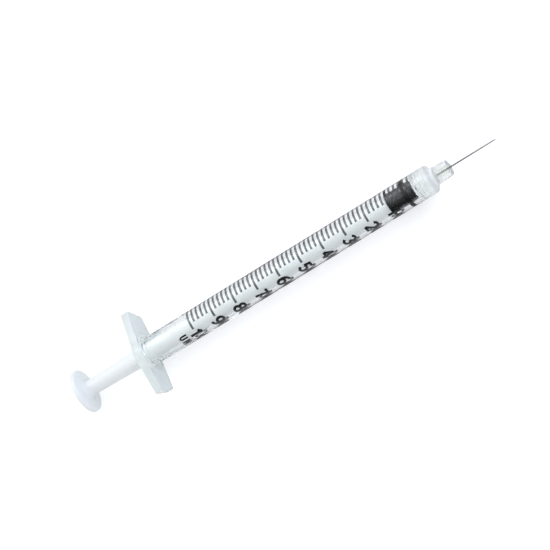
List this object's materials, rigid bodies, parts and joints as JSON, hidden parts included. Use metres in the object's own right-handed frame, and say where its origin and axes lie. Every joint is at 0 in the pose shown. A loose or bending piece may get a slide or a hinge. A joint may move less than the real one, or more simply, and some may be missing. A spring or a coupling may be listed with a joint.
{
  "type": "insulin syringe with fixed needle",
  "caption": "Clear one-millilitre syringe with a fixed fine needle, hexagonal finger flange, printed unit scale, sliding rubber stopper and round plunger rod with a thumb disc.",
  "frame": {"origin": "on the barrel's axis at the middle of the zero line, where the stopper's front stands when the plunger is home", "axes": "+X along the axis towards the needle's point, +-Y along the two finger wings, +Z out of the barrel where the long lines cross the top"},
  "size_m": [0.1089, 0.0196, 0.0102],
  "materials": {
    "clear_plastic": "clear moulded polypropylene, glossy",
    "hub_plastic": "clear moulded plastic, glossy",
    "cured_adhesive": "cured adhesive, slightly green, glossy",
    "needle_steel": "drawn stainless tube, fine lengthwise polish",
    "stopper_rubber": "black rubber wetted with silicone oil, satin",
    "rod_plastic": "milky moulded plastic, satin",
    "line_ink": "printed black ink",
    "numeral_ink": "printed black ink, dense"
  },
  "bodies": {
    "barrel": {"barrel": "clear_plastic", "needle_hub": "hub_plastic", "adhesive": "cured_adhesive", "cannula": "needle_steel", "long_lines": "line_ink", "short_lines": "line_ink", "numerals": "numeral_ink", "unit_letters": "numeral_ink"},
    "stopper": {"stopper": "stopper_rubber"},
    "plunger": {"plunger_rod": "rod_plastic"}
  },
  "joints": [
    {"name": "plunger_slide", "type": "slide", "parent": "barrel", "child": "stopper", "axis": [-1, 0, 0], "range_m": [0, 0.0625]},
    {"name": "rod_spin", "type": "hinge", "parent": "stopper", "child": "plunger", "pos_m": [-0.005, 0, 0], "axis": [1, 0, 0], "continuous": true}
  ]
}
